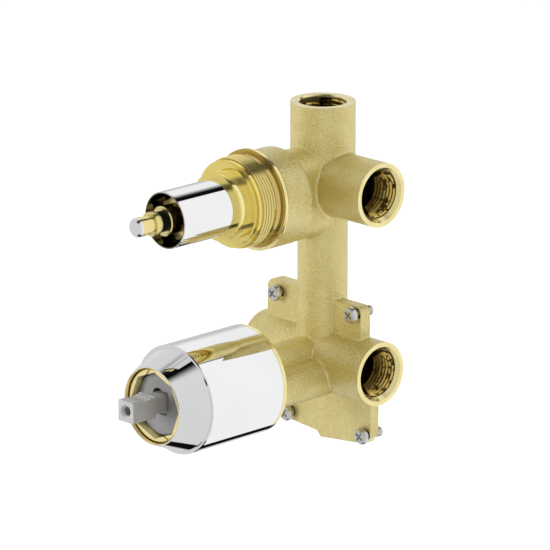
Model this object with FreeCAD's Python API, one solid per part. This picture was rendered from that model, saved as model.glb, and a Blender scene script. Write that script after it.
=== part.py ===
import FreeCAD, Part
import math
import os

# Concealed two outlet shower mixer body: a cast brass body with a mixing cartridge below and a diverter above.
# Millimetres, +Z up. The mixing valve turns about the Y axis and its front looks along -Y.
# y = 0 is the machined shoulder that the mixer sleeve stands on.

# Pipework of the casting
level_spacing = 79.3        # inlet centre line to diverter axis
pipe_setback = 46.5         # shoulder to the centre lines of the pipes
port_reach = 35.3           # column axis to the face of a side port
top_reach = 35.0            # diverter axis to the face of the top outlet
port_radius = 14.0          # outside of every threaded port
column_radius = 10.85
column_bore = 6.0
thread_bore = 10.2          # wall of a G 1/2 thread left for the taper of the pipe
thread_depth = 15.0
side_sink_radius = 12.0     # countersink of the side ports
side_sink_depth = 2.3
top_sink_depth = 0.6
port_passage = 6.5

# Mixing chamber of the casting
shoulder_radius = 23.7
shoulder_thickness = 2.3
chamber_radius = 21.6
chamber_length = 41.0
chamber_chamfer = 1.4
chamber_floor = 3.5         # floor in front of the shoulder
cartridge_radius = 17.35
nut_thread_radius = 18.35
inlet_offset = 9.5
inlet_drop = 4.6
inlet_lobe = 8.3
inlet_passage = 4.6
outlet_rise = 4.2
outlet_lobe = 7.4
outlet_passage = 4.5

# Diverter chamber of the casting
drum_radius = 21.2
drum_drop = 1.6             # the rough drum hangs a little below the valve axis
drum_front = 4.5
drum_back = 21.7
drum_round = 3.0
rim_radius = 21.3
rim_front = 3.0
rim_chamfer = 0.7
spigot_radius = 19.2
spigot_front = -7.5
relief_radius = 19.7        # plain band between the thread and the rim
relief_width = 3.2
diverter_bore = 15.0
diverter_floor = 18.7
bonnet_thread_radius = 16.4
bonnet_thread_length = 9.5
neck_half_width = 10.5
neck_low = 23.0             # below the diverter axis
neck_high = 16.5            # above the diverter axis
feed_drop = 11.3
feed_passage = 5.0
top_feed_rise = 10.7
side_feed_offset = 4.5
side_feed_passage = 4.0

# Fixing lugs and their screws, placed from the pipe centre lines
screw_half_spacing = 23.25
upper_screw_height = 25.0
lower_screw_drop = 31.0
upper_lug_front = -3.5
upper_lug_thickness = 5.8
left_lug_margin = 7.0
left_lug_top = 5.5
left_lug_round = 4.5
right_lug_margin = 3.4
right_lug_top = 3.3
right_lug_round = 3.0
plate_front = 3.5
plate_thickness = 4.3
plate_margin = 3.4
plate_step = 0.8            # right half of the lower plate stands proud
plate_step_place = -5.5
plate_foot = 6.8            # lowest point of the plate below the screw row
plate_rise = 3.0            # its edge rises by this towards the right screw
plate_left_rise = 1.9
screw_radius = 2.0
screw_head_radius = 3.6
screw_head_height = 2.2
screw_head_stand_off = 2.0
upper_screw_tip = 3.9       # beyond the back of its lug
lower_screw_tip = 4.6
screw_hole_sink = 3.2
screw_slot_width = 0.9
screw_slot_depth = 1.1
screw_slot_length = 4.2
screw_slot_turn = 35.0
screw_tip_chamfer = 0.4
screw_shank_step = 0.25     # the plain shank in the lug is thinner than the threaded tip by this

# Hollow corners of the rough casting
casting_round = 1.2
lobe_round = 1.0
rough_front = 15.0          # in front of this the casting is machined
lobe_corner_reach = 6.5     # hollow corners this far in front of the pipe centres are those of the lobes
corner_probe = 0.2
least_corner_angle = 20

# Mixing cartridge, its nut and its sleeve
sleeve_wall = 1.2
sleeve_set_back = 0.2       # the straight part of the sleeve ends this far behind the end of the chamber
sleeve_edge = 0.35
band_width = 1.3
cone_length = 12.85
cone_mouth = 17.05
sleeve_ring_places = (-9.0, -32.0)
sleeve_ring_wire = 1.0
nut_front = -52.4
nut_collar_radius = 16.0
nut_face_radius = 15.4
nut_chamfer = 0.6
nut_octagon_flat = 13.5
nut_slot_width = 0.9
nut_slot_depth = 1.8
nut_slot_length = 5.4
nut_slot_radius = 14.6
nut_slots = [(105, 52), (-61, -44)]     # place round the nut and lean of each spanner slot, degrees
cover_front = -49.0
cover_thickness = 1.3
cover_radius = 13.2
cover_slot_width = 9.6
cover_slot_height = 11.4
cover_slot_round = 3.0
housing_neck = 13.2
housing_shoulder = -35.1
housing_foot = -10.0
housing_cavity = 15.6
turret_radius = 9.9
turret_bore = 7.6
turret_flange_thickness = 4.0
turret_throat = 6.0
tilt_axis = -42.2
tilt_limit = 12.0
stem_ball = 7.1
stem_ball_cut = 5.0
stem_end = -68.8
stem_rise = 1.0             # the square sits a little above the axis
stem_square = 9.2
stem_square_length = 11.9
stem_square_round = 0.7
stem_collar = 10.0
stem_collar_length = 0.6
stem_collar_round = 0.8
stem_neck = 8.0
stem_neck_round = 2.0
stem_notch_radius = 7.0     # shallow hollow across the top of the square
stem_notch_depth = 0.7
stem_notch_place = 7.4
stem_hole = 2.0
stem_hole_depth = 8.0
stem_hole_sink = 3.0
finger_radius = 1.9
finger_ball = 2.6
tilt_pin_radius = 1.25
carrier_radius = 10.6
carrier_thickness = 6.7
carrier_pocket_depth = 5.0
drive_rib_width = 5.0
drive_rib_height = 1.6
disc_radius = 10.2
disc_thickness = 3.5
fixed_disc_thickness = 4.0
disc_port = 3.9
mixing_pocket_depth = 1.8
base_spigot_height = 3.5
seal_outer = 6.0
seal_height = 1.8
peg_radius = 1.5
peg_length = 2.5
peg_circle = 14.6

# Diverter headwork, its bonnet, sleeve and spindle
bonnet_front = -16.6
bonnet_nose_radius = 14.8
bonnet_nose_edge = 0.4
bonnet_nose_length = 1.2
bonnet_barrel_radius = 14.3
bonnet_face = -10.6         # front of the flange
bonnet_face_radius = 17.4
bonnet_edge_radius = 18.0
bonnet_step = -9.3          # here the flange widens to its full size
bonnet_flange_radius = 18.9
diverter_sleeve_radius = 12.3
diverter_sleeve_wall = 0.8
diverter_sleeve_front = -45.9
sleeve_seat_depth = 6.0
sleeve_spigot_step = 0.2     # the end in the bonnet is turned down by this
sleeve_front_chamfer = 0.25
headwork_nose_radius = 6.4
headwork_front = -47.7
headwork_nose_length = 9.0
headwork_hex_flats = 17.0
headwork_hex_length = 6.0
headwork_radius = 9.6
headwork_flange_radius = 14.7
headwork_flange_thickness = 2.5
headwork_cage_radius = 12.6
headwork_cavity = 9.9
headwork_window = 6.0
spindle_radius = 3.4
spindle_edge = 0.4
spindle_bore_radius = 4.45
spindle_flange_radius = 5.2
spindle_flange_front = -54.6
spindle_flange_thickness = 2.9
spindle_groove_radius = 3.95
spindle_groove_width = 3.9
spindle_head_radius = 4.15
spindle_head_length = 2.9
spindle_ring_wire = 0.9
spindle_ring_places = (-37.6, -33.1)
spindle_driver_radius = 8.6
spindle_driver_thickness = 5.0
bush_length = 8.6
end_screw_radius = 4.1
end_screw_head = 1.7
end_screw_chamfer = 0.9
end_screw_shank = 1.5
end_screw_depth = 7.0
diverter_disc_thickness = 3.2
diverter_disc_port = 3.6
seat_seal_width = 1.6

# Clearances between pieces
slide_gap = 0.10
turn_gap = 0.05
loose_gap = 0.30

X = FreeCAD.Vector(1, 0, 0)
Y = FreeCAD.Vector(0, 1, 0)
Z = FreeCAD.Vector(0, 0, 1)
BACK = FreeCAD.Vector(0, -1, 0)


def at(x, y, z):
    return FreeCAD.Vector(x, y, z)


def rod(radius, length, start, direction):
    return Part.makeCylinder(radius, length, start, direction)


def along_y(radius, y_from, y_to, x=0.0, z=0.0):
    return rod(radius, y_to - y_from, at(x, y_from, z), Y)


def ring(outer, inner, y_from, y_to, x=0.0, z=0.0):
    return along_y(outer, y_from, y_to, x, z).cut(along_y(inner, y_from, y_to, x, z))


def turned(profile, z=0.0):
    # profile is a closed outline of (y, radius) points, turned about a line along Y at height z
    points = [at(radius, y, z) for y, radius in profile]
    wire = Part.makePolygon(points + points[:1])
    return Part.Face(wire).revolve(at(0, 0, z), Y, 360)


def outline_plate(points, y_from, thickness):
    # points are (x, z) corners, counted round the outline
    corners = [at(x, y_from, z) for x, z in points]
    wire = Part.makePolygon(corners + corners[:1])
    return Part.Face(wire).extrude(at(0, thickness, 0))


def slab(width, height, corner, y_from, y_to, z=0.0):
    # a bar along Y with round long edges
    bar = Part.makeBox(width, y_to - y_from, height, at(-width / 2, y_from, z - height / 2))
    long_edges = [e for e in bar.Edges if abs(e.tangentAt(e.FirstParameter).y) > 0.9]
    return bar.makeFillet(corner, long_edges)


def regular_bar(sides, flat, y_from, y_to, z=0.0):
    corner = flat / math.cos(math.pi / sides)
    turn = [2 * math.pi * (i + 0.5) / sides for i in range(sides)]
    return outline_plate([(corner * math.cos(a), z + corner * math.sin(a)) for a in turn], y_from, y_to - y_from)


def joined(first, others):
    return first.multiFuse(others).removeSplitter()


def o_ring(centre_radius, wire_radius, y, z=0.0):
    # a ring pressed in its groove, drawn with a section of eight sides
    turn = [2 * math.pi * (i + 0.5) / 8 for i in range(8)]
    return turned([(y + wire_radius * math.cos(a), centre_radius + wire_radius * math.sin(a)) for a in turn], z)


def upright_edges(shape, x, z, reach=0.2):
    # edges along Y that pass near (x, z)
    found = []
    for edge in shape.Edges:
        middle = edge.CenterOfMass
        if abs(edge.tangentAt(edge.FirstParameter).y) > 0.99:
            if abs(middle.x - x) < reach and abs(middle.z - z) < reach:
                found.append(edge)
    return found


# Places that several pieces share
pipe_y = pipe_setback
sharp_corners = [
    (-16.1, pipe_y + plate_front, -13.6),
    (0.0, drum_back - drum_round, level_spacing - drum_drop - drum_radius),
]
inlet_places = [(inlet_offset, -inlet_drop), (-inlet_offset, -inlet_drop)]
mixer_ports = inlet_places + [(0.0, outlet_rise)]
sleeve_bore = shoulder_radius - sleeve_wall
sleeve_length = chamber_length - sleeve_set_back
floor_y = -chamber_floor
nut_bore_back = housing_shoulder + slide_gap
base_front = housing_foot - base_spigot_height
fixed_disc_front = base_front - fixed_disc_thickness
moving_disc_front = fixed_disc_front - disc_thickness
carrier_front = moving_disc_front - carrier_thickness
turret_back = carrier_front - slide_gap
turret_front = cover_front + cover_thickness
housing_front = turret_front + slide_gap
turret_floor = turret_back - turret_flange_thickness - slide_gap
finger_reach = carrier_front + carrier_pocket_depth - finger_ball - loose_gap - tilt_axis
sleeve_ring_centre = sleeve_bore - sleeve_ring_wire - turn_gap
seat_back = diverter_floor
diverter_base = seat_back - seat_seal_width
fixed_diverter_front = diverter_base - diverter_disc_thickness
moving_diverter_front = fixed_diverter_front - diverter_disc_thickness
driver_front = moving_diverter_front - spindle_driver_thickness
headwork_seat = spigot_front + bonnet_thread_length
sleeve_spigot_radius = diverter_sleeve_radius - sleeve_spigot_step
spindle_end = spindle_flange_front - spindle_groove_width - spindle_head_length
screws = [
    (-screw_half_spacing, upper_screw_height, upper_lug_front, upper_lug_thickness, upper_screw_tip),
    (screw_half_spacing, upper_screw_height, upper_lug_front, upper_lug_thickness, upper_screw_tip),
    (-screw_half_spacing, -lower_screw_drop, plate_front, plate_thickness, lower_screw_tip),
    (screw_half_spacing, -lower_screw_drop, plate_front, plate_thickness, lower_screw_tip),
]


# Casting: pipes, lobes, drum, lugs
def casting_pipes():
    centre = at(0, pipe_y, 0)
    crossing = at(0, pipe_y, level_spacing)
    column = rod(column_radius, level_spacing, centre, Z)
    inlets = rod(port_radius, 2 * port_reach, at(-port_reach, pipe_y, 0), X)
    side_outlet = rod(port_radius, port_reach, crossing, X)
    top_outlet = rod(port_radius, top_reach, crossing, Z)
    elbow = Part.makeSphere(port_radius, crossing)
    return [column, inlets, side_outlet, top_outlet, elbow]


def casting_mixer():
    shoulder = along_y(shoulder_radius, 0, shoulder_thickness)
    shoulder_edges = [e for e in shoulder.Edges if e.Curve.TypeId == "Part::GeomCircle"]
    shoulder = shoulder.makeChamfer(shoulder_thickness / 8, shoulder_edges)
    chamber = turned([
        (shoulder_thickness / 2, 0),
        (shoulder_thickness / 2, chamber_radius),
        (chamber_chamfer - chamber_length, chamber_radius),
        (-chamber_length, chamber_radius - chamber_chamfer),
        (-chamber_length, 0),
    ])
    lobes = [along_y(inlet_lobe, shoulder_thickness / 2, pipe_y, x, z) for x, z in inlet_places]
    lobes.append(along_y(outlet_lobe, shoulder_thickness / 2, pipe_y, 0, outlet_rise))
    return [shoulder, chamber] + lobes


def casting_diverter():
    drum_z = level_spacing - drum_drop
    drum = along_y(drum_radius, drum_front, drum_back, 0, drum_z)
    back_edge = [e for e in drum.Edges if abs(e.CenterOfMass.y - drum_back) < 0.01]
    drum = drum.makeFillet(drum_round, back_edge)
    rim = turned([
        (rim_front + drum_front, 0),
        (rim_front + drum_front, relief_radius),
        (drum_front + rim_chamfer, rim_radius),
        (rim_front + rim_chamfer, rim_radius),
        (rim_front, rim_radius - rim_chamfer),
        (rim_front, 0),
    ], level_spacing)
    spigot = along_y(spigot_radius, spigot_front, rim_front, 0, level_spacing)
    relief = along_y(relief_radius, rim_front - relief_width, rim_front, 0, level_spacing)
    width = 2 * neck_half_width
    low = level_spacing - neck_low
    height = neck_low + neck_high
    neck = slab(width, height, 0.9 * neck_half_width, drum_back - drum_round, pipe_y, low + height / 2)
    return [drum, rim, spigot, relief, neck]


def upper_lug(side, margin, top, corner):
    outer = side * (screw_half_spacing + margin)
    crest = upper_screw_height + top
    plate = outline_plate([(0, 0), (outer, 0), (outer, crest), (0, crest)],
                          pipe_y + upper_lug_front, upper_lug_thickness)
    return plate.makeFillet(corner, upright_edges(plate, outer, crest))


def lower_plate():
    outer = screw_half_spacing + plate_margin
    row = -lower_screw_drop
    foot = row - plate_foot
    step = plate_step_place
    left_foot = foot + plate_left_rise
    thick = plate_thickness + plate_step
    right = outline_plate([
        (step, 0), (step, left_foot), (step + plate_left_rise, foot),
        (screw_half_spacing, foot + plate_rise), (outer, row), (outer, 0),
    ], pipe_y + plate_front - plate_step, thick)
    left = outline_plate([
        (-outer, 0), (-outer, row - plate_margin / 2), (-screw_half_spacing, row - plate_margin),
        (step, left_foot), (step, 0),
    ], pipe_y + plate_front, plate_thickness)
    right = right.makeFillet(plate_margin / 2, upright_edges(right, screw_half_spacing, foot + plate_rise))
    return [right, left]


def casting_hollows():
    hollows = []
    crossing = at(0, pipe_y, level_spacing)
    for side, z in ((1, 0), (-1, 0), (1, level_spacing)):
        face = at(side * port_reach, pipe_y, z)
        inward = X * (-side)
        hollows.append(rod(thread_bore, thread_depth, face, inward))
        hollows.append(Part.makeCone(side_sink_radius, thread_bore, side_sink_depth, face, inward))
        end = inlet_offset if z == 0 else side_feed_offset
        hollows.append(rod(port_passage, port_reach - end, face, inward))
    top = at(0, pipe_y, level_spacing + top_reach)
    hollows.append(rod(thread_bore, thread_depth, top, Z * -1))
    hollows.append(Part.makeCone(thread_bore + top_sink_depth, thread_bore, top_sink_depth, top, Z * -1))
    hollows.append(rod(port_passage, top_reach - top_feed_rise + feed_passage / 2, top, Z * -1))
    hollows.append(rod(column_bore, level_spacing - feed_drop - outlet_rise, at(0, pipe_y, outlet_rise), Z))
    hollows.append(along_y(feed_passage, diverter_floor - 1, pipe_y, 0, level_spacing - feed_drop))
    hollows.append(along_y(feed_passage, diverter_floor - 1, pipe_y, 0, level_spacing + top_feed_rise))
    hollows.append(along_y(side_feed_passage, diverter_floor - 1, crossing.y, side_feed_offset, level_spacing))
    hollows.append(along_y(diverter_bore, spigot_front, diverter_floor, 0, level_spacing))
    hollows.append(along_y(bonnet_thread_radius + slide_gap, spigot_front, headwork_seat, 0, level_spacing))
    hollows.append(along_y(cartridge_radius + slide_gap, -chamber_length, floor_y))
    hollows.append(along_y(nut_thread_radius + slide_gap, -chamber_length, nut_bore_back))
    for x, z in inlet_places:
        hollows.append(along_y(inlet_passage, floor_y - 1, pipe_y, x, z))
        hollows.append(along_y(peg_radius + slide_gap, floor_y - 1, floor_y + peg_length + slide_gap,
                               math.copysign(peg_circle * math.cos(math.radians(30)), x),
                               peg_circle * math.sin(math.radians(30))))
    hollows.append(along_y(outlet_passage, floor_y - 1, pipe_y, 0, outlet_rise))
    for place in sleeve_ring_places:
        groove = sleeve_ring_centre - sleeve_ring_wire - turn_gap
        hollows.append(ring(chamber_radius + 1, groove, place - sleeve_ring_wire, place + sleeve_ring_wire))
    return hollows


def inner_corners(body):
    # edges of the rough casting behind the drum and the shoulder where two faces meet in a hollow
    found = []
    for edge in body.Edges:
        middle = edge.valueAt((edge.FirstParameter + edge.LastParameter) / 2)
        faces = body.ancestorsOfType(edge, Part.Face)
        skipped = [place for place in sharp_corners if (edge.CenterOfMass - at(*place)).Length < 1]
        if middle.y < rough_front or middle.z < -chamber_radius or edge.Length < 1 or skipped or len(faces) != 2:
            continue
        first, second = [face.normalAt(*face.Surface.parameter(middle)) for face in faces]
        angle = math.degrees(first.getAngle(second))
        across = (first - second) * corner_probe
        hollow = body.isInside(middle + across, 0.001, True) and body.isInside(middle - across, 0.001, True)
        if hollow and least_corner_angle < angle < 180 - least_corner_angle:
            found.append(edge)
    return found


def rounded_corners(body):
    limit = pipe_y - lobe_corner_reach
    lobes = [e for e in inner_corners(body) if e.CenterOfMass.z < chamber_radius and e.CenterOfMass.y < limit]
    body = body.makeFillet(lobe_round, lobes)
    rest = [e for e in inner_corners(body) if e.CenterOfMass.z > chamber_radius or e.CenterOfMass.y > limit]
    return body.makeFillet(casting_round, rest)


def valve_body():
    lugs = [
        upper_lug(-1, left_lug_margin, left_lug_top, left_lug_round),
        upper_lug(1, right_lug_margin, right_lug_top, right_lug_round),
    ] + lower_plate()
    pipes = casting_pipes()
    body = joined(pipes[0], pipes[1:] + casting_mixer() + casting_diverter() + lugs)
    body = rounded_corners(body).cut(Part.Compound(casting_hollows()))
    for x, z, front, thickness, _ in screws:
        face = pipe_y + front - (plate_step if x > 0 and z < 0 else 0)
        hole = along_y(screw_radius + turn_gap, face - 1, pipe_y + front + thickness + 1, x, z)
        depth = screw_hole_sink - screw_radius
        sink = Part.makeCone(screw_hole_sink, screw_radius, depth, at(x, face, z), Y)
        body = body.cut(hole).cut(sink)
    return body


def screw(x, z, under_head, shank_end, tip):
    crown = under_head - screw_head_height
    edge = screw_tip_chamfer
    shank = screw_radius - screw_shank_step
    blank = turned([
        (crown, 0), (crown, 0.62 * screw_head_radius), (crown + 0.16 * screw_head_height, 0.85 * screw_head_radius),
        (crown + 0.5 * screw_head_height, screw_head_radius), (under_head, screw_head_radius),
        (under_head, shank), (shank_end, shank), (shank_end, screw_radius), (tip - edge, screw_radius),
        (tip, screw_radius - edge), (tip, 0),
    ])
    for wide, tall in ((screw_slot_length, screw_slot_width), (screw_slot_width, screw_slot_length)):
        blank = blank.cut(Part.makeBox(wide, screw_slot_depth, tall, at(-wide / 2, crown, -tall / 2)))
    blank.rotate(at(0, 0, 0), Y, screw_slot_turn)
    blank.translate(at(x, 0, z))
    return blank


def fixing_screws():
    made = []
    for x, z, front, thickness, reach in screws:
        face = pipe_y + front
        back = face + thickness
        made.append(screw(x, z, face - screw_head_stand_off, back, back + reach))
    return Part.Compound(made)


# Mixing cartridge and what covers it
def mixer_sleeve():
    # a tube, a narrow flat band in front, then a cone that closes in to the mouth
    band = -sleeve_length - sleeve_edge
    mouth = band - cone_length
    cone_foot = shoulder_radius - band_width
    lean = (cone_foot - cone_mouth) / cone_length
    wall = sleeve_wall * math.hypot(1, lean)
    return turned([
        (0, sleeve_bore), (0, shoulder_radius), (band + sleeve_edge, shoulder_radius),
        (band, shoulder_radius - sleeve_edge), (band, cone_foot),
        (mouth, cone_mouth), (mouth, cone_mouth - sleeve_wall / 2),
        (mouth + sleeve_wall, cone_mouth - wall + lean * sleeve_wall),
        (band + sleeve_edge, cone_foot - wall + lean * sleeve_edge), (band + 3 * sleeve_wall, sleeve_bore),
    ])


def sleeve_o_rings():
    wire = sleeve_ring_wire - turn_gap
    return Part.Compound([o_ring(sleeve_ring_centre, wire, place) for place in sleeve_ring_places])


def cartridge_nut():
    blank = turned([
        (housing_shoulder, 0), (housing_shoulder, nut_thread_radius), (-chamber_length, nut_thread_radius),
        (-chamber_length, nut_collar_radius), (nut_front + nut_chamfer, nut_collar_radius),
        (nut_front, nut_face_radius), (nut_front, 0),
    ])
    socket = regular_bar(8, nut_octagon_flat, nut_front, housing_shoulder)
    socket.rotate(at(0, 0, 0), Y, 180 / 8)
    blank = blank.cut(socket)
    for place, lean in nut_slots:
        slot = Part.makeBox(nut_slot_length, nut_slot_depth, nut_slot_width,
                            at(-nut_slot_length / 2, nut_front, -nut_slot_width / 2))
        slot.rotate(at(0, 0, 0), Y, lean - place)
        turn = math.radians(place)
        slot.translate(at(nut_slot_radius * math.cos(turn), 0, nut_slot_radius * math.sin(turn)))
        blank = blank.cut(slot)
    return blank


def cartridge_housing():
    return turned([
        (housing_foot, housing_cavity), (housing_foot, cartridge_radius), (housing_shoulder, cartridge_radius),
        (housing_shoulder, housing_neck), (housing_front, housing_neck), (housing_front, turret_radius + slide_gap),
        (turret_floor, turret_radius + slide_gap), (turret_floor, housing_cavity),
    ])


def swivel_turret():
    flange_front = turret_floor + slide_gap
    body = turned([
        (turret_back, 0), (turret_back, housing_cavity - loose_gap), (flange_front, housing_cavity - loose_gap),
        (flange_front, turret_radius), (turret_front, turret_radius), (turret_front, 0),
    ])
    socket_floor = tilt_axis + stem_ball + loose_gap
    body = body.cut(along_y(turret_bore, turret_front, socket_floor))
    body = body.cut(along_y(turret_throat, socket_floor, turret_back))
    groove = Part.makeBox(drive_rib_width + 2 * slide_gap, drive_rib_height + 2 * slide_gap, 2 * housing_cavity,
                          at(-drive_rib_width / 2 - slide_gap, turret_back - drive_rib_height - slide_gap * 2,
                             -housing_cavity))
    pin_hole = rod(tilt_pin_radius + turn_gap / 2, 2 * turret_radius + 2, at(-turret_radius - 1, tilt_axis, 0), X)
    return body.cut(groove).cut(pin_hole)


def turret_cover():
    # the dull grey disc that closes the front of the cartridge, with a slot for the neck of the stem
    disc = along_y(cover_radius, cover_front, turret_front)
    slot = slab(cover_slot_width, cover_slot_height, cover_slot_round, cover_front, turret_front, stem_rise)
    return disc.cut(slot)


def ball_and_finger():
    # one turned outline: the ball, cut flat behind, then the finger with its round tip
    cut_y = tilt_axis + stem_ball_cut
    cut_radius = math.sqrt(stem_ball ** 2 - stem_ball_cut ** 2)
    tip_y = tilt_axis + finger_reach
    neck_y = tip_y - math.sqrt(finger_ball ** 2 - finger_radius ** 2)
    ball = Part.Arc(at(0, tilt_axis - stem_ball, 0), at(stem_ball, tilt_axis, 0), at(cut_radius, cut_y, 0))
    tip = Part.Arc(at(finger_radius, neck_y, 0), at(finger_ball, tip_y, 0), at(0, tip_y + finger_ball, 0))
    outline = [
        ball.toShape(),
        Part.makeLine(at(cut_radius, cut_y, 0), at(finger_radius, cut_y, 0)),
        Part.makeLine(at(finger_radius, cut_y, 0), at(finger_radius, neck_y, 0)),
        tip.toShape(),
        Part.makeLine(at(0, tip_y + finger_ball, 0), at(0, tilt_axis - stem_ball, 0)),
    ]
    return Part.Face(Part.Wire(outline)).revolve(at(0, 0, 0), Y, 360)


def lever_stem():
    square_back = stem_end + stem_square_length
    collar_back = square_back + stem_collar_length
    square = slab(stem_square, stem_square, stem_square_round, stem_end, square_back, stem_rise)
    crest = stem_rise + stem_square / 2 - stem_notch_depth + stem_notch_radius
    notch = rod(stem_notch_radius, stem_collar, at(-stem_collar / 2, stem_end + stem_notch_place, crest), X)
    collar = slab(stem_collar, stem_collar, stem_collar_round, square_back, collar_back, stem_rise)
    neck = slab(stem_neck, stem_neck, stem_neck_round, collar_back, tilt_axis, stem_rise)
    stem = joined(ball_and_finger(), [square.cut(notch), collar, neck])
    hole = along_y(stem_hole, stem_end, stem_end + stem_hole_depth, 0, stem_rise)
    sink = Part.makeCone(stem_hole_sink, stem_hole, stem_hole_sink - stem_hole, at(0, stem_end, stem_rise), Y)
    pin_hole = rod(tilt_pin_radius + turn_gap, 4 * stem_ball, at(-2 * stem_ball, tilt_axis, 0), X)
    return stem.cut(hole).cut(sink).cut(pin_hole)


def tilt_pin():
    half = turret_radius - slide_gap
    return rod(tilt_pin_radius, 2 * half, at(-half, tilt_axis, 0), X)


def disc_carrier():
    carrier = along_y(carrier_radius, carrier_front, moving_disc_front)
    pocket = along_y(finger_ball + slide_gap, carrier_front, carrier_front + carrier_pocket_depth)
    rib_length = 2 * carrier_radius
    rib = Part.makeBox(drive_rib_width, drive_rib_height, rib_length,
                       at(-drive_rib_width / 2, carrier_front - drive_rib_height, -rib_length / 2))
    rib = rib.common(along_y(carrier_radius, carrier_front - drive_rib_height, carrier_front))
    gap = along_y(turret_throat + finger_reach * math.sin(math.radians(tilt_limit)),
                  carrier_front - drive_rib_height, carrier_front)
    return carrier.cut(pocket).fuse(rib.cut(gap))


def moving_ceramic_disc():
    disc = along_y(disc_radius, moving_disc_front, fixed_disc_front)
    pocket = outline_plate([(-disc_port * 1.6, -disc_port), (disc_port * 1.6, -disc_port),
                            (disc_port, outlet_rise + disc_port), (-disc_port, outlet_rise + disc_port)],
                           fixed_disc_front - mixing_pocket_depth, mixing_pocket_depth)
    return disc.cut(pocket)


def fixed_ceramic_disc():
    disc = along_y(housing_cavity - loose_gap, fixed_disc_front, base_front)
    for x, z in mixer_ports:
        disc = disc.cut(along_y(disc_port, fixed_disc_front, base_front, x, z))
    return disc


def cartridge_base():
    base = turned([
        (floor_y, 0), (floor_y, cartridge_radius), (housing_foot, cartridge_radius),
        (housing_foot, housing_cavity - slide_gap), (base_front, housing_cavity - slide_gap), (base_front, 0),
    ])
    for x, z in mixer_ports:
        base = base.cut(along_y(disc_port, base_front, floor_y, x, z))
        base = base.cut(along_y(seal_outer, floor_y - seal_height, floor_y, x, z))
    for side in (1, -1):
        angle = math.radians(30)
        base = base.fuse(along_y(peg_radius, floor_y - 1, floor_y + peg_length,
                                 side * peg_circle * math.cos(angle), peg_circle * math.sin(angle)))
    return base


def port_seals():
    inner = inlet_passage + slide_gap
    return Part.Compound([ring(seal_outer - turn_gap, inner, floor_y - seal_height, floor_y, x, z)
                          for x, z in mixer_ports])


# Diverter headwork and what covers it
def diverter_bonnet():
    nose_back = bonnet_front + bonnet_nose_length
    edge = bonnet_edge_radius - bonnet_face_radius
    body = turned([
        (headwork_seat, 0), (headwork_seat, bonnet_thread_radius), (spigot_front, bonnet_thread_radius),
        (spigot_front, bonnet_flange_radius), (bonnet_step, bonnet_flange_radius),
        (bonnet_step, bonnet_edge_radius), (bonnet_face + edge, bonnet_edge_radius),
        (bonnet_face, bonnet_face_radius), (bonnet_face, bonnet_barrel_radius),
        (nose_back, bonnet_barrel_radius), (nose_back, bonnet_nose_radius),
        (bonnet_front + bonnet_nose_edge, bonnet_nose_radius),
        (bonnet_front, bonnet_nose_radius - bonnet_nose_edge), (bonnet_front, 0),
    ], level_spacing)
    seat = along_y(sleeve_spigot_radius + slide_gap, bonnet_front, bonnet_front + sleeve_seat_depth,
                   0, level_spacing)
    bore = along_y(headwork_radius + loose_gap, bonnet_front, headwork_seat, 0, level_spacing)
    return body.cut(seat).cut(bore)


def diverter_sleeve():
    back = bonnet_front + sleeve_seat_depth
    bore = diverter_sleeve_radius - diverter_sleeve_wall
    front = diverter_sleeve_front
    return turned([
        (front, bore), (front, diverter_sleeve_radius - sleeve_front_chamfer),
        (front + sleeve_front_chamfer, diverter_sleeve_radius), (bonnet_front, diverter_sleeve_radius),
        (bonnet_front, sleeve_spigot_radius), (back, sleeve_spigot_radius), (back, bore),
    ], level_spacing)


def diverter_headwork():
    nose_back = headwork_front + headwork_nose_length
    hex_back = nose_back + headwork_hex_length
    flange_back = headwork_seat + headwork_flange_thickness
    shell = turned([
        (diverter_base, 0), (diverter_base, headwork_cage_radius), (flange_back, headwork_cage_radius),
        (flange_back, headwork_flange_radius), (headwork_seat, headwork_flange_radius),
        (headwork_seat, headwork_radius), (hex_back, headwork_radius), (hex_back, headwork_nose_radius),
        (headwork_front + 0.4, headwork_nose_radius), (headwork_front, headwork_nose_radius - 0.4),
        (headwork_front, 0),
    ], level_spacing)
    grip = regular_bar(6, headwork_hex_flats / 2, nose_back, hex_back + 1, level_spacing)
    shell = joined(shell, [grip])
    shell = shell.cut(along_y(spindle_bore_radius, headwork_front, driver_front, 0, level_spacing))
    shell = shell.cut(along_y(headwork_cavity, driver_front - slide_gap, diverter_base, 0, level_spacing))
    window = headwork_window
    for turn in (0, 90):
        slot = Part.makeBox(4 * headwork_cage_radius, window, window,
                            at(-2 * headwork_cage_radius, fixed_diverter_front - window, level_spacing - window / 2))
        slot.rotate(at(0, 0, level_spacing), Y, turn)
        shell = shell.cut(slot)
    return shell


def diverter_spindle():
    flange_back = spindle_flange_front + spindle_flange_thickness
    groove_front = spindle_flange_front - spindle_groove_width
    journal_front = flange_back + bush_length + slide_gap
    journal = spindle_bore_radius - turn_gap
    spindle = turned([
        (moving_diverter_front, 0), (moving_diverter_front, spindle_driver_radius),
        (driver_front, spindle_driver_radius), (driver_front, journal), (journal_front, journal),
        (journal_front, spindle_radius), (flange_back, spindle_radius), (flange_back, spindle_flange_radius),
        (spindle_flange_front + spindle_edge, spindle_flange_radius),
        (spindle_flange_front, spindle_flange_radius - spindle_edge), (spindle_flange_front, spindle_groove_radius),
        (groove_front, spindle_groove_radius), (groove_front - spindle_edge / 2, spindle_head_radius),
        (spindle_end, spindle_head_radius), (spindle_end, 0),
    ], level_spacing)
    for place in spindle_ring_places:
        spindle = spindle.cut(ring(spindle_bore_radius, spindle_bore_radius - 2 * spindle_ring_wire,
                                   place - spindle_ring_wire, place + spindle_ring_wire, 0, level_spacing))
    drill = along_y(end_screw_shank + turn_gap, spindle_end, spindle_end + end_screw_depth + slide_gap,
                    0, level_spacing)
    return spindle.cut(drill)


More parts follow.
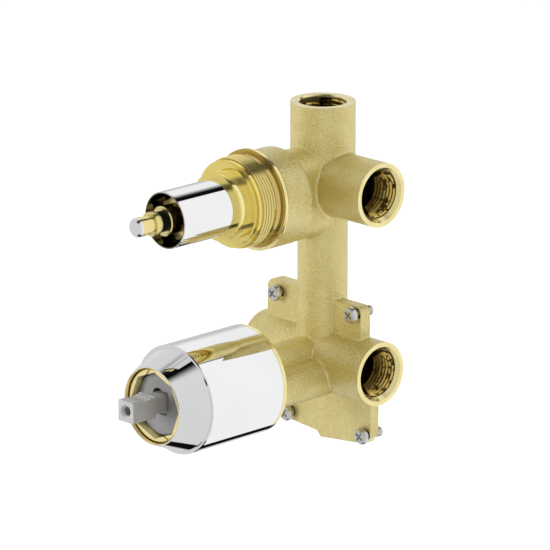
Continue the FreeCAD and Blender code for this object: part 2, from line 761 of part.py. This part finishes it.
def spindle_screw():
    head = along_y(end_screw_radius, spindle_end - end_screw_head, spindle_end, 0, level_spacing)
    crown = [e for e in head.Edges if abs(e.CenterOfMass.y - spindle_end + end_screw_head) < 0.01]
    head = head.makeChamfer(end_screw_chamfer, crown)
    return head.fuse(along_y(end_screw_shank, spindle_end, spindle_end + end_screw_depth, 0, level_spacing))


def spindle_bush():
    front = spindle_flange_front + spindle_flange_thickness + turn_gap
    return ring(spindle_bore_radius - turn_gap, spindle_radius + turn_gap, front, front + bush_length,
                0, level_spacing)


def spindle_o_rings():
    centre = spindle_bore_radius - spindle_ring_wire - turn_gap / 2
    return Part.Compound([o_ring(centre, spindle_ring_wire - turn_gap, place, level_spacing)
                          for place in spindle_ring_places])


def moving_diverter_disc():
    disc = along_y(headwork_cavity - loose_gap, moving_diverter_front, fixed_diverter_front, 0, level_spacing)
    port = along_y(diverter_disc_port, moving_diverter_front, fixed_diverter_front,
                   0, level_spacing + headwork_cavity / 2)
    return disc.cut(port)


def fixed_diverter_disc():
    disc = along_y(headwork_cavity - turn_gap, fixed_diverter_front, diverter_base, 0, level_spacing)
    for side in (1, -1):
        disc = disc.cut(along_y(diverter_disc_port, fixed_diverter_front, diverter_base,
                                0, level_spacing + side * headwork_cavity / 2))
    return disc


def seat_seal():
    return ring(headwork_cage_radius - turn_gap, headwork_cavity - seat_seal_width, diverter_base, seat_back,
                0, level_spacing)


pieces = {
    "valve_body": valve_body,
    "fixing_screws": fixing_screws,
    "mixer_sleeve": mixer_sleeve,
    "sleeve_o_rings": sleeve_o_rings,
    "cartridge_nut": cartridge_nut,
    "cartridge_housing": cartridge_housing,
    "swivel_turret": swivel_turret,
    "turret_cover": turret_cover,
    "lever_stem": lever_stem,
    "tilt_pin": tilt_pin,
    "disc_carrier": disc_carrier,
    "moving_ceramic_disc": moving_ceramic_disc,
    "fixed_ceramic_disc": fixed_ceramic_disc,
    "cartridge_base": cartridge_base,
    "port_seals": port_seals,
    "diverter_bonnet": diverter_bonnet,
    "diverter_sleeve": diverter_sleeve,
    "diverter_headwork": diverter_headwork,
    "diverter_spindle": diverter_spindle,
    "spindle_screw": spindle_screw,
    "spindle_bush": spindle_bush,
    "spindle_o_rings": spindle_o_rings,
    "moving_diverter_disc": moving_diverter_disc,
    "fixed_diverter_disc": fixed_diverter_disc,
    "seat_seal": seat_seal,
}

os.makedirs("parts", exist_ok=True)
for node, build in pieces.items():
    shape = build()
    shape.exportStep("parts/" + node + ".step")
    print(node, len(shape.Solids), "solids", round(shape.Volume, 1), "mm3", "valid", shape.isValid())
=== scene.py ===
import math

import bpy
from mathutils import Matrix, Vector


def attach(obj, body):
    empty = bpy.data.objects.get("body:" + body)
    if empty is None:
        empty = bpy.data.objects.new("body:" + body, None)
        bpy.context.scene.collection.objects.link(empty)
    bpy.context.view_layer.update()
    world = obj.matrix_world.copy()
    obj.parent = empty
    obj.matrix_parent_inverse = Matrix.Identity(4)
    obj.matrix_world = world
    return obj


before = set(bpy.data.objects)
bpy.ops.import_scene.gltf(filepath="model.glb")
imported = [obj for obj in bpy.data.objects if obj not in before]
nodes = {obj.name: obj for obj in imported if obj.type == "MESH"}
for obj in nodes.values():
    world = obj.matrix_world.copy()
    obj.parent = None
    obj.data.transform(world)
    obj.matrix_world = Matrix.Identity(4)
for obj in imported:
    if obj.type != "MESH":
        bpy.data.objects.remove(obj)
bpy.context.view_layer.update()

mm = 0.001
bpy.ops.object.select_all(action="DESELECT")


# Places on the casting in millimetres; a Deep or a From is measured inward from its face
body = {
    "pipeY": 46.5,
    "level": 79.3,
    "portFace": 35.3,
    "topFace": 114.3,
    "portReach": 13.3,
    "sideDeep": 23.3,
    "topDeep": 22.0,
    "mouthDeep": 0.25,
    "threadFrom": 2.3,
    "topThreadFrom": 1.2,
    "boreSpan": (3.0, 13.0),
    "shoulder": 2.3,
    "drumLow": 40.0,
    "rimBack": 5.2,
    "rimFront": 3.0,
    "rimEdge": 3.7,
    "reliefFront": -0.2,
    "screwX": 23.25,
    "screwRows": [(25.0, 43.0), (-31.0, 49.2)],
    "sinkRadius": 3.25,
    "sinkDeep": 2.0,
    "tips": [(25.0, 48.8, 3.9), (-31.0, 54.3, 4.6)],
}


# Shader helper: a wrapped socket takes Python arithmetic and adds the Math nodes for it
class Sock:
    def __init__(self, tree, out):
        self.tree = tree
        self.out = out

    def maths(self, operation, *others):
        inputs = {f"i{slot}": value for slot, value in enumerate((self,) + others)}
        return addNode(self.tree, "ShaderNodeMath", {"operation": operation}, **inputs)

    def __add__(self, other):
        return self.maths("ADD", other)

    def __sub__(self, other):
        return self.maths("SUBTRACT", other)

    def __rsub__(self, other):
        return addNode(self.tree, "ShaderNodeMath", {"operation": "SUBTRACT"}, i0=other, i1=self)

    def __mul__(self, other):
        return self.maths("MULTIPLY", other)

    def __truediv__(self, other):
        return self.maths("DIVIDE", other)

    def power(self, other):
        return self.maths("POWER", other)

    def sine(self):
        return self.maths("SINE")

    def size(self):
        return self.maths("ABSOLUTE")

    def least(self, other):
        return self.maths("MINIMUM", other)

    def most(self, other):
        return self.maths("MAXIMUM", other)

    def above(self, edge, soft=0.1):
        # 0 below the edge and 1 above it, over a soft width
        return self.step(edge - soft / 2, edge + soft / 2)

    def below(self, edge, soft=0.1):
        return 1 - self.above(edge, soft)

    def step(self, low, high, first=0.0, last=1.0):
        # a smooth change from the first value to the last, between low and high
        return addNode(self.tree, "ShaderNodeMapRange", {"interpolation_type": "SMOOTHSTEP"},
                       i0=self, i1=low, i2=high, i3=first, i4=last)

    def blend(self, first, last):
        # the first value where the mask is 0, the last where it is 1
        return self.step(0.0, 1.0, first, last)


def feed(tree, slot, value):
    if isinstance(value, Sock):
        tree.links.new(value.out, slot)
    elif isinstance(value, (tuple, list)):
        slot.default_value = tuple(value) + (1.0,) * (len(slot.default_value) - len(value))
    else:
        slot.default_value = value


def addNode(tree, kind, settings, out=0, **inputs):
    node = tree.nodes.new(kind)
    for key, value in settings.items():
        setattr(node, key, value)
    for key, value in inputs.items():
        # an input goes by its name, or by its number after an i where several share a name
        numbered = key[0] == "i" and key[1:].isdigit()
        slot = node.inputs[int(key[1:]) if numbered else key.replace("_", " ")]
        feed(tree, slot, value)
    return Sock(tree, node.outputs[out])


def axes(tree, place):
    return [addNode(tree, "ShaderNodeSeparateXYZ", {}, out=axis, Vector=place) for axis in "XYZ"]


class Finish:
    # one material, its tree and the positions of the surface in millimetres
    def __init__(self, name, roughness, metallic=0.0, **fixed):
        self.material = bpy.data.materials.new(name)
        self.material.use_nodes = True
        self.tree = self.material.node_tree
        self.surface = self.tree.nodes["Principled BSDF"]
        self.surface.inputs["Roughness"].default_value = roughness
        self.surface.inputs["Metallic"].default_value = metallic
        for key, value in fixed.items():
            feed(self.tree, self.surface.inputs[key.replace("_", " ")], value)
        self.place = self.add("ShaderNodeTexCoord", {}, out="Object")
        self.x, self.y, self.z = [axis * (1 / mm) for axis in axes(self.tree, self.place)]

    def add(self, kind, settings, out=0, **inputs):
        return addNode(self.tree, kind, settings, out, **inputs)

    def noise(self, grain, detail=3.0, roughness=0.55):
        # grain is the size of the pattern in millimetres
        return self.add("ShaderNodeTexNoise", {}, Vector=self.place, Scale=1 / (grain * mm),
                        Detail=detail, Roughness=roughness)

    def mix(self, share, first, second):
        return self.add("ShaderNodeMix", {"data_type": "RGBA"}, out=2, i0=share, i6=first, i7=second)

    def bump(self, height, depth, **extra):
        # depth in millimetres
        return self.add("ShaderNodeBump", {}, Height=height, Distance=depth * mm, Strength=1.0, **extra)

    def set(self, **links):
        for key, value in links.items():
            feed(self.tree, self.surface.inputs[key.replace("_", " ")], value)

    def distance(self, first, second, place1=0.0, place2=0.0):
        # distance from a line, in millimetres, measured across it
        off1 = first - place1
        off2 = second - place2
        return (off1 * off1 + off2 * off2).power(0.5)


def srgb(*channels):
    return tuple(((c / 255 + 0.055) / 1.055) ** 2.4 if c > 10 else c / 255 / 12.92 for c in channels)


def dress(finish, *names):
    for name in names:
        mesh = nodes[name].data
        mesh.materials.clear()
        mesh.materials.append(finish.material)


# Finishes: most colours and roughnesses vary over this span of a noise
span = (0.3, 0.7)
crisp = 0.05    # a sharper edge than the usual one, in millimetres

# The casting: grainy outside, turned bright where it has been cut
brassLook = {
    "castLight": srgb(237, 223, 156),
    "castDark": srgb(229, 213, 143),
    "castShade": srgb(207, 189, 115),
    "castRough": 0.38,
    "cutRough": 0.14,
    "roughSpread": 0.1,
    "castGrain": 0.8,
    "finer": 2.4,
    "fineShare": 0.4,
    "blotch": 9.0,
    "shadeSpan": (0.35, 0.6, 0.3, 0.0),     # a span of the grain, and how much shade at each end of it
    "castDepth": 0.36,
    "castMetal": 0.8,
    "cutMetal": 0.82,
    "coat": 0.45,
    "coatRough": 0.35,
    "softEdge": 0.8,
    "cutLight": srgb(252, 240, 180),
    "cutDark": srgb(244, 228, 160),
    # spigot and relief are darker golds of the turned brass; rimEdge is painted shade on the rim's front
    # face and chamfer
    "spigot": srgb(216, 192, 104),
    "relief": srgb(204, 182, 104),
    "rimEdge": srgb(186, 156, 66),
    # bore darkens into boreDeep deeper in a threaded bore: painted shade
    "bore": srgb(206, 182, 108),
    "boreDeep": srgb(44, 34, 14),
}
farOff = 50.0    # millimetres added to a distance, which takes it past the reach of every port


def portPlaces(f):
    # distance from the axis of the nearest side port, and from that of the top port
    low = f.distance(f.y, f.z, body["pipeY"], 0.0)
    # the upper level has no port at the left, so its distance is made large there
    high = f.distance(f.y, f.z, body["pipeY"], body["level"]) + f.x.below(0.0) * farOff
    up = f.distance(f.x, f.y, 0.0, body["pipeY"])
    return low.least(high), up


def castBrass():
    look = brassLook
    f = Finish("castBrass", look["castRough"], look["castMetal"],
               Coat_Weight=look["coat"], Coat_Roughness=look["coatRough"])
    sides, up = portPlaces(f)
    grain = f.noise(look["castGrain"], 0.0)
    fine = f.noise(look["castGrain"] / look["finer"], 1.0, 0.5)
    blotch = f.noise(look["blotch"], 2.0, 0.5)
    cast = f.mix(blotch.step(*span), look["castDark"], look["castLight"])
    cast = f.mix(grain.step(*look["shadeSpan"]), cast, look["castShade"])

    # where the casting has been cut: port mouths and threads, the drum's rim and spigot, the shoulder
    face, top, reach, deep = body["portFace"], body["topFace"], body["portReach"], body["mouthDeep"]
    across = f.x.size()
    sideIn = sides.below(reach) * across.above(face - body["sideDeep"])
    topIn = up.below(reach) * f.z.above(top - body["topDeep"])
    mouth = across.above(face - deep).most(f.z.above(top - deep))
    rim = f.y.below(body["rimBack"]) * f.z.above(body["drumLow"])
    shoulder = f.y.below(body["shoulder"] + crisp, crisp)
    sinks = None
    for row, front in body["screwRows"]:
        around = f.distance(across, f.z, body["screwX"], row)
        sink = around.below(body["sinkRadius"], 0.15) * f.y.above(front - body["sinkDeep"])
        sinks = sink if sinks is None else sinks.most(sink)
    cut = sideIn.most(topIn).most(mouth).most(rim).most(shoulder).most(sinks)
    thread = sideIn * across.below(face - body["threadFrom"], 0.2)
    thread = thread.most(topIn * f.z.below(top - body["topThreadFrom"], 0.3))
    turned = f.mix(blotch.step(*span), look["cutDark"], look["cutLight"])
    # painted shade: the threaded bores darken towards near black deeper in
    depth = (face - across) * sideIn + (top - f.z) * topIn
    bore = f.mix(depth.step(*body["boreSpan"]), look["bore"], look["boreDeep"])
    turned = f.mix(thread, turned, bore)
    # painted shade on the rim's front face and chamfer, then darker golds on the relief band and the spigot
    # in front of it
    turned = f.mix(rim * f.y.below(body["rimEdge"]), turned, look["rimEdge"])
    turned = f.mix(rim * f.y.below(body["rimFront"] - crisp, crisp), turned, look["relief"])
    turned = f.mix(rim * f.y.below(body["reliefFront"], crisp), turned, look["spigot"])
    sand = (grain + fine * look["fineShare"]) * (1 - cut)
    soft = f.add("ShaderNodeBevel", {"samples": 6}, Radius=look["softEdge"] * mm)
    plain = f.add("ShaderNodeNewGeometry", {}, out="Normal")
    edge = f.add("ShaderNodeMix", {"data_type": "VECTOR"}, out=1, i0=cut, i4=soft, i5=plain)
    roughness = cut.blend(look["castRough"], look["cutRough"])
    f.set(Base_Color=f.mix(cut, cast, turned), Normal=f.bump(sand, look["castDepth"], Normal=edge),
          Metallic=cut.blend(look["castMetal"], look["cutMetal"]),
          Roughness=roughness + (grain - 0.5) * (1 - cut) * look["roughSpread"])
    return f


# Turned brass: streaks and fine marks that follow the lathe, counted per millimetre
turnedLook = {
    "along": 1.7,
    "across": 2.3,
    "streakSpan": (0.35, 0.65),
    "haze": 5.0,
    "marks": 11.0,
    "marksDepth": 0.00015,
    "roughSpread": (0.85, 1.3),
}
headworkLook = {
    "light": srgb(248, 233, 168),
    "dark": srgb(240, 222, 148),
    "rough": 0.2,
    "metal": 1.0,
    "axisZ": body["level"],
}
nutLook = {
    "light": srgb(250, 237, 178),
    "dark": srgb(240, 224, 158),
    "rough": 0.32,
    "metal": 0.75,
    "axisZ": 0.0,
}


def turnedBrass(name, piece):
    f = Finish(name, piece["rough"], piece["metal"])
    look = turnedLook
    radius = f.distance(f.x, f.z, 0.0, piece["axisZ"])
    run = f.y * look["along"] + radius * look["across"]
    streak = f.add("ShaderNodeTexNoise", {"noise_dimensions": "1D"}, W=run, Scale=1.0, Detail=3.0)
    haze = f.noise(look["haze"])
    marks = ((f.y * look["marks"]).sine() + (radius * look["marks"]).sine()) * 0.5
    roughness = [piece["rough"] * share for share in look["roughSpread"]]
    f.set(Base_Color=f.mix(streak.step(*look["streakSpan"]), piece["dark"], piece["light"]),
          Roughness=haze.step(*span, *roughness), Normal=f.bump(marks, look["marksDepth"]))
    return f


# The bonnet: its barrel stands in a corner, and is painted paler than the rest as a painted highlight
bonnetLook = {
    "light": srgb(241, 222, 132),
    "dark": srgb(236, 215, 123),
    "barrel": srgb(253, 243, 182),
    "barrelRadius": 14.5,
    "barrelFront": -15.3,
    "haze": 5.0,
    "rough": (0.025, 0.045),
    "metal": 0.85,
}


def bonnetBrass():
    look = bonnetLook
    f = Finish("bonnetBrass", look["rough"][1], look["metal"])
    haze = f.noise(look["haze"])
    radius = f.distance(f.x, f.z, 0.0, body["level"])
    barrel = radius.below(look["barrelRadius"]) * f.y.above(look["barrelFront"])
    flange = f.mix(haze.step(*span), look["dark"], look["light"])
    # the paler barrel is a painted highlight
    f.set(Base_Color=f.mix(barrel, flange, look["barrel"]), Roughness=haze.step(*span, *look["rough"]))
    return f


# Chrome: both sleeves are plated outside only
chromeLook = {
    "light": srgb(247, 247, 247),
    "dark": srgb(243, 243, 244),
    "haze": 30.0,
    "rough": 0.03,
    "endRough": (0.16, 0.208),
}
sleeveLook = {
    "mouthPlace": -54.0,
    "mouthRadius": 17.05,
    "coneLean": 0.416,
    "footRadius": 22.4,
    "wall": 0.45,
    "raw": srgb(244, 228, 166),
    "rawMetal": 0.8,
    "rawRough": 0.35,
}
tubeLook = {
    "radius": 12.3,
    "wall": 0.4,
    # the inside is painted a dark olive: painted shade
    "dull": srgb(122, 114, 92),
    "dullRough": 0.08,
}


def chromeTone(f):
    haze = f.noise(chromeLook["haze"], 1.0)
    return haze, f.mix(haze.step(*span), chromeLook["dark"], chromeLook["light"])


def endChrome():
    f = Finish("endChrome", chromeLook["endRough"][0], 1.0)
    haze, plated = chromeTone(f)
    f.set(Base_Color=plated, Roughness=haze.step(*span, *chromeLook["endRough"]))
    return f


def sleeveChrome():
    f = Finish("sleeveChrome", chromeLook["rough"], 1.0)
    look = sleeveLook
    haze, plated = chromeTone(f)
    cone = (f.y - look["mouthPlace"]) * look["coneLean"] + look["mouthRadius"]
    inside = (cone.least(look["footRadius"]) - f.distance(f.x, f.z)).above(look["wall"])
    f.set(Base_Color=f.mix(inside, plated, look["raw"]), Metallic=inside.blend(1.0, look["rawMetal"]),
          Roughness=inside.blend(chromeLook["rough"], look["rawRough"]))
    return f


def tubeChrome():
    f = Finish("tubeChrome", chromeLook["rough"], 1.0)
    look = tubeLook
    haze, plated = chromeTone(f)
    inside = (look["radius"] - f.distance(f.x, f.z, 0.0, body["level"])).above(look["wall"])
    # painted shade on the inside of the tube
    f.set(Base_Color=f.mix(inside, plated, look["dull"]),
          Roughness=inside.blend(chromeLook["rough"], look["dullRough"]))
    return f


# Plain finishes: a fine grain, and a slow cloud between two colours; lengths in millimetres
plastic = {"metal": 0.0, "shine": 0.5, "grain": 0.35, "cloud": 6.0, "depth": 0.02}
steel = {"metal": 1.0, "shine": 0.5, "grain": 0.5, "cloud": 2.0, "depth": 0.02}
cartridgeGrey = dict(plastic, light=srgb(150, 150, 150), dark=srgb(144, 144, 144), rough=(0.495, 0.6325))
discGrey = dict(plastic, light=srgb(123, 123, 123), dark=srgb(116, 116, 116), rough=(0.45, 0.575))
# the spindle bush is painted near black: painted shade round the spindle shank
bushShade = dict(plastic, light=srgb(12, 12, 11), dark=srgb(6, 6, 6), rough=(0.45, 0.575), shine=0.1)
sealRubber = dict(plastic, light=srgb(34, 34, 34), dark=srgb(22, 22, 22), rough=(0.63, 0.805))
discCeramic = dict(plastic, light=srgb(240, 238, 232), dark=srgb(228, 226, 220), rough=(0.18, 0.23),
                   grain=0.8)
screwZinc = dict(steel, light=srgb(226, 226, 224), dark=srgb(200, 200, 199), rough=(0.2, 0.325))
pinSteel = dict(steel, light=srgb(205, 206, 210), dark=srgb(160, 162, 168), rough=(0.24, 0.39))
dullZinc = {
    "light": srgb(170, 170, 168),
    "dark": srgb(164, 164, 162),
    "rough": (0.42, 0.55),
    "metal": 0.25,
    "shine": 0.5,
    "grain": 0.3,
    "cloud": 5.0,
    "depth": 0.015,
}


def plainFinish(name, look):
    f = Finish(name, look["rough"][0], look["metal"], Specular_IOR_Level=look["shine"])
    grain = f.noise(look["grain"])
    cloud = f.noise(look["cloud"])
    f.set(Base_Color=f.mix(cloud.step(*span), look["dark"], look["light"]),
          Roughness=grain.step(*span, *look["rough"]), Normal=f.bump(grain, look["depth"]))
    return f


screwFinish = plainFinish("screwZinc", screwZinc)
dress(castBrass(), "valve_body")
dress(bonnetBrass(), "diverter_bonnet")
dress(turnedBrass("headworkBrass", headworkLook), "diverter_headwork", "diverter_spindle")
dress(turnedBrass("nutBrass", nutLook), "cartridge_nut")
dress(sleeveChrome(), "mixer_sleeve")
dress(tubeChrome(), "diverter_sleeve")
dress(endChrome(), "spindle_screw")
dress(plainFinish("cartridgeGrey", cartridgeGrey),
      "cartridge_housing", "cartridge_base", "disc_carrier", "swivel_turret")
dress(plainFinish("discGrey", discGrey), "turret_cover")
dress(plainFinish("dullZinc", dullZinc), "lever_stem")
# painted shade: the near-black spindle bush
dress(plainFinish("bushShade", bushShade), "spindle_bush")
dress(plainFinish("sealRubber", sealRubber), "sleeve_o_rings", "port_seals", "spindle_o_rings", "seat_seal")
dress(plainFinish("discCeramic", discCeramic),
      "moving_ceramic_disc", "fixed_ceramic_disc", "moving_diverter_disc", "fixed_diverter_disc")
dress(screwFinish, "fixing_screws")
dress(plainFinish("pinSteel", pinSteel), "tilt_pin")
print("finishes done")


# Threads: one tooth of three corners, carried along a helix by a screw modifier
toothHalf = 0.46    # half the foot of a tooth, as a share of the pitch


def threadRidge(name, finish, thread, start, direction):
    pitch, turns = thread["pitch"], thread["turns"]
    half = toothHalf * pitch
    corners = [(thread["crest"], 0), (thread["root"], -half), (thread["root"], half)]
    bpy.ops.object.select_all(action="DESELECT")
    bpy.ops.mesh.primitive_circle_add(vertices=3, radius=1.0, fill_type="NOTHING")
    piece = bpy.context.object
    piece.name = name
    for vertex, (across, along) in zip(piece.data.vertices, corners):
        vertex.co = Vector((across, 0.0, along)) * mm
    bpy.ops.object.modifier_add(type="SCREW")
    screw = piece.modifiers[-1]
    screw.axis = "Z"
    screw.angle = 2 * math.pi * turns
    screw.screw_offset = pitch * turns * mm
    screw.steps = int(thread["steps"] * turns)
    screw.render_steps = screw.steps
    screw.use_merge_vertices = False
    bpy.ops.object.modifier_apply(modifier=screw.name)
    bpy.ops.object.mode_set(mode="EDIT")
    bpy.ops.mesh.select_all(action="SELECT")
    bpy.ops.mesh.fill_holes(sides=3)
    bpy.ops.mesh.select_all(action="SELECT")
    bpy.ops.mesh.normals_make_consistent(inside=False)
    bpy.ops.object.mode_set(mode="OBJECT")
    turn = Vector((0, 0, 1)).rotation_difference(Vector(direction)).to_matrix().to_4x4()
    piece.data.transform(Matrix.Translation(Vector(start) * mm) @ turn)
    bpy.ops.object.shade_smooth_by_angle(angle=math.radians(40))
    piece.data.materials.append(finish.material)
    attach(piece, "valve")
    return piece


pipeThread = {"root": 10.25, "crest": 9.3, "pitch": 1.814, "turns": 6.4, "steps": 40, "inset": 13.6}
# Thread colours: crest is the brass; groove and far are painted shade, and the flecks are painted dark
# reflections
threadLook = {
    "crest": srgb(222, 192, 104),
    "groove": srgb(52, 38, 12),
    "far": srgb(90, 70, 28),
    "grooveSpan": (9.75, 10.1),
    "farSpan": (1.0, 12.0),
    "darkReflection": srgb(60, 44, 16),
    "darkReflectionSize": 2.6,
    "darkReflectionSpan": (0.5, 0.62),
}


def threadBrass():
    f = Finish("threadBrass", 0.08, 1.0)
    look = threadLook
    sides, up = portPlaces(f)
    isUp = f.z.above(body["topFace"] - body["topDeep"])
    radius = sides * (1 - isUp) + up * isUp
    depth = (body["portFace"] - f.x.size()) * (1 - isUp) + (body["topFace"] - f.z) * isUp
    # painted shade: the crests darken towards the far end of the port
    crest = f.mix(depth.step(*look["farSpan"]), look["crest"], look["far"])
    # dark flecks on the crests: painted dark reflections
    darkReflection = f.noise(look["darkReflectionSize"], 2.0, 0.6)
    crest = f.mix(darkReflection.step(*look["darkReflectionSpan"]), crest, look["darkReflection"])
    # painted shade in the grooves between the crests
    f.set(Base_Color=f.mix(radius.step(*look["grooveSpan"]), crest, look["groove"]))
    return f


threadFinish = threadBrass()
ports = {
    "coldInletThread": ((body["portFace"], body["pipeY"], 0), (1, 0, 0)),
    "hotInletThread": ((-body["portFace"], body["pipeY"], 0), (-1, 0, 0)),
    "sideOutletThread": ((body["portFace"], body["pipeY"], body["level"]), (1, 0, 0)),
    "topOutletThread": ((0, body["pipeY"], body["topFace"]), (0, 0, 1)),
}
for name, (mouth, direction) in ports.items():
    start = Vector(mouth) - Vector(direction) * pipeThread["inset"]
    threadRidge(name, threadFinish, pipeThread, start, direction)

spigotThread = {"root": 19.15, "crest": 19.75, "pitch": 1.5, "turns": 4.3, "steps": 72, "front": -0.6}
# the spigot thread's groove colour is painted shade
spigotLook = {"crest": srgb(244, 226, 146), "groove": srgb(168, 142, 66), "span": (19.2, 19.45)}


def spigotBrass():
    f = Finish("spigotBrass", 0.06, 0.8)
    radius = f.distance(f.x, f.z, 0.0, body["level"])
    # painted shade in the grooves of the spigot thread
    f.set(Base_Color=f.mix(radius.step(*spigotLook["span"]), spigotLook["groove"], spigotLook["crest"]))
    return f


spigotStart = (0, spigotThread["front"], body["level"])
threadRidge("spigotThread", spigotBrass(), spigotThread, spigotStart, (0, -1, 0))

tipThread = {"root": 1.96, "crest": 2.25, "pitch": 0.8, "steps": 20, "plainStart": 0.5, "plainEnd": 0.5}
for row, back, reach in body["tips"]:
    for side, word in ((-1, "Left"), (1, "Right")):
        name = ("upper" if row > 0 else "lower") + word + "TipThread"
        turns = (reach - tipThread["plainStart"] - tipThread["plainEnd"]) / tipThread["pitch"]
        place = (side * body["screwX"], back + tipThread["plainStart"], row)
        threadRidge(name, screwFinish, dict(tipThread, turns=turns), place, (0, 1, 0))
print("threads done")


# Studio: a white room with a dark gap overhead and a dark strip of floor, white to the camera.
# Lengths are in metres, and the overhead and left angles in degrees round the y axis.
studio = {
    "floorZ": -0.16,
    "floorSize": 8.0,
    "floorGlow": 0.35,
    "bright": 0.95,
    "dark": 0.004,
    "least": 0.001,
    "levelSoft": 0.02,
    "frontShare": 0.76,
    "frontSpan": (0.25, 0.6),
    "overheadBack": 96.0,
    "overheadFade": 25.0,
    "leftLight": 0.92,
    "farLeftShare": 0.62,
    "farLeftSpan": (145.0, 170.0),
    "farLeftFront": (0.4, 0.62, 0.95),      # a span of the direction, and the share below it
    "overheadFront": (0.2, 0.5),
    "overheadSoft": (62.0, 79.0, 83.0),
    "stripLean": -0.4,
    "strip": (-0.37, 0.0),
    "stripSoft": (0.14, 0.04),
    "underLight": 0.68,
}


def lightRoom():
    world = bpy.data.worlds.new("studio")
    bpy.context.scene.world = world
    world.use_nodes = True
    tree = world.node_tree
    background = tree.nodes["Background"]
    x, y, z = axes(tree, addNode(tree, "ShaderNodeTexCoord", {}, out="Generated"))
    dark = studio["dark"]

    # above the level: bright on the right, dark overhead, bright again on the left
    around = z.maths("ARCTAN2", x) * (180 / math.pi)
    last = studio["overheadBack"]
    left = around.step(last, last + studio["overheadFade"], dark, studio["leftLight"])
    farLeft = y.step(*studio["farLeftFront"], studio["farLeftShare"])
    left = left * around.step(*studio["farLeftSpan"], 1.0, farLeft)
    near, far, end = studio["overheadSoft"]
    right = around.step(y.step(*studio["overheadFront"], near, far), end, 1.0, 0.0)
    front = y.step(*studio["frontSpan"], studio["frontShare"], 1.0)
    upper = (right * studio["bright"] + (1 - right) * left) * front

    # below it: bright, with a dark strip of floor that runs slantwise
    low, high = studio["strip"]
    softLow, softHigh = studio["stripSoft"]
    across = (x - y * studio["stripLean"]) / (z * -1.0).most(studio["least"])
    lower = across.above(high, softHigh) * studio["bright"] * front
    lower = lower + across.below(low, softLow) * studio["underLight"]
    lower = lower.most(dark)

    isUp = z.above(0.0, studio["levelSoft"])
    room = isUp * upper + (1 - isUp) * lower
    camera = addNode(tree, "ShaderNodeLightPath", {}, out="Is Camera Ray")
    feed(tree, background.inputs["Strength"], room * (1 - camera) + camera)
    feed(tree, background.inputs["Color"], (1, 1, 1))


def layFloor():
    bpy.ops.object.select_all(action="DESELECT")
    bpy.ops.mesh.primitive_plane_add(size=studio["floorSize"], location=(0, 0, studio["floorZ"]))
    floor = bpy.context.object
    floor.name = "paleFloor"
    floor.visible_glossy = False
    f = Finish("floorWhite", 0.9, 0.0, Base_Color=srgb(250, 250, 250), Emission_Strength=1.0)
    camera = f.add("ShaderNodeLightPath", {}, out="Is Camera Ray")
    f.set(Emission_Color=camera * studio["floorGlow"])
    # from below the floor is clear
    under = f.add("ShaderNodeNewGeometry", {}, out="Backfacing") * camera
    clear = f.add("ShaderNodeBsdfTransparent", {})
    seen = f.add("ShaderNodeMixShader", {}, i0=under, i1=Sock(f.tree, f.surface.outputs[0]), i2=clear)
    feed(f.tree, f.tree.nodes["Material Output"].inputs["Surface"], seen)
    floor.data.materials.append(f.material)


lamps = {
    "keyLamp": {"place": (-0.5, -0.5, 1.3), "size": 0.5, "power": 9.0},
    "frontLamp": {"place": (-0.8, -1.2, 0.2), "size": 0.6, "power": 20.0},
}
lampTarget = (0, 0.02, 0.04)


def addLamp(name, place, size, power):
    bpy.ops.object.light_add(type="AREA", location=place)
    lamp = bpy.context.object
    lamp.name = name
    lamp.data.size = size
    lamp.data.energy = power
    lamp.rotation_euler = (Vector(lampTarget) - Vector(place)).to_track_quat("-Z", "Y").to_euler()
    lamp.visible_glossy = False


lightRoom()
layFloor()
for name, lamp in lamps.items():
    addLamp(name, **lamp)
print("studio done")


# Camera: a long lens at the photograph's angle, placed from the crossing of pipe and mixing axis
cameraFit = {
    "turn": 45.76,
    "tilt": 16.40,
    "right": 20.41,
    "up": -35.28,
    "away": 2161.56,
    "sensor": 36,
    "lensInPixels": 5000,
    "pictureWidth": 550,
}


def placeCamera():
    turn, tilt = math.radians(cameraFit["turn"]), math.radians(cameraFit["tilt"])
    right = Vector((math.cos(turn), math.sin(turn), 0))
    back = Vector((math.sin(turn) * math.cos(tilt), -math.cos(turn) * math.cos(tilt), math.sin(tilt)))
    up = back.cross(right)
    eye = back * cameraFit["away"] - right * cameraFit["right"] - up * cameraFit["up"]
    eye = (eye + Vector((0, body["pipeY"], 0))) * mm
    data = bpy.data.cameras.new("camera")
    data.sensor_width = cameraFit["sensor"]
    data.lens = cameraFit["lensInPixels"] * cameraFit["sensor"] / cameraFit["pictureWidth"]
    data.clip_end = 20
    camera = bpy.data.objects.new("camera", data)
    camera.matrix_world = Matrix.Translation(eye) @ Matrix((right, up, back)).transposed().to_4x4()
    bpy.context.collection.objects.link(camera)
    bpy.context.scene.camera = camera


placeCamera()
bpy.context.scene.view_settings.view_transform = "Standard"
print("camera done")
